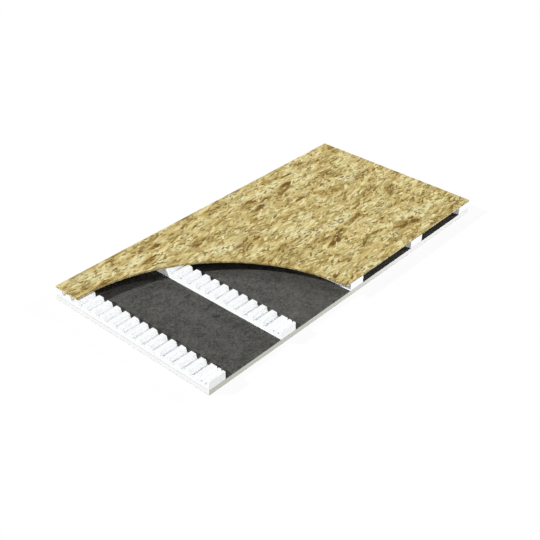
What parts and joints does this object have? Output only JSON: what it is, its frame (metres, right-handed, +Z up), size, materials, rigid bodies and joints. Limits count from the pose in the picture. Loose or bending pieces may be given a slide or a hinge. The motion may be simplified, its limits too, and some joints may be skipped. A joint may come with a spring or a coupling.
{
  "type": "ventilated roof insulation board",
  "caption": "Flat sheet of faced rigid foam with white ribbed spacer strips across it and a strand board panel on top, cut back in a curve at one corner to show the layers.",
  "frame": {"origin": "middle of the underside of the foam board", "axes": "+X along the sheet's length, away from the cut-away end; +Y across the sheet, away from the cut-away side; +Z up, out of the strand board"},
  "size_m": [2.4384, 1.2192, 0.0936],
  "materials": {
    "foam": "matte, closed-cell foam",
    "facer": "matte charcoal fibre mat",
    "spacer": "matte moulded bead foam",
    "strand_board": "raw pressed strands"
  },
  "bodies": {
    "root": {"foam_core": "foam", "bottom_facer": "facer", "top_facer": "facer", "spacer_strip_1": "spacer", "spacer_strip_2": "spacer", "spacer_strip_3": "spacer", "spacer_strip_4": "spacer", "spacer_strip_5": "spacer", "osb_panel": "strand_board"}
  },
  "joints": []
}
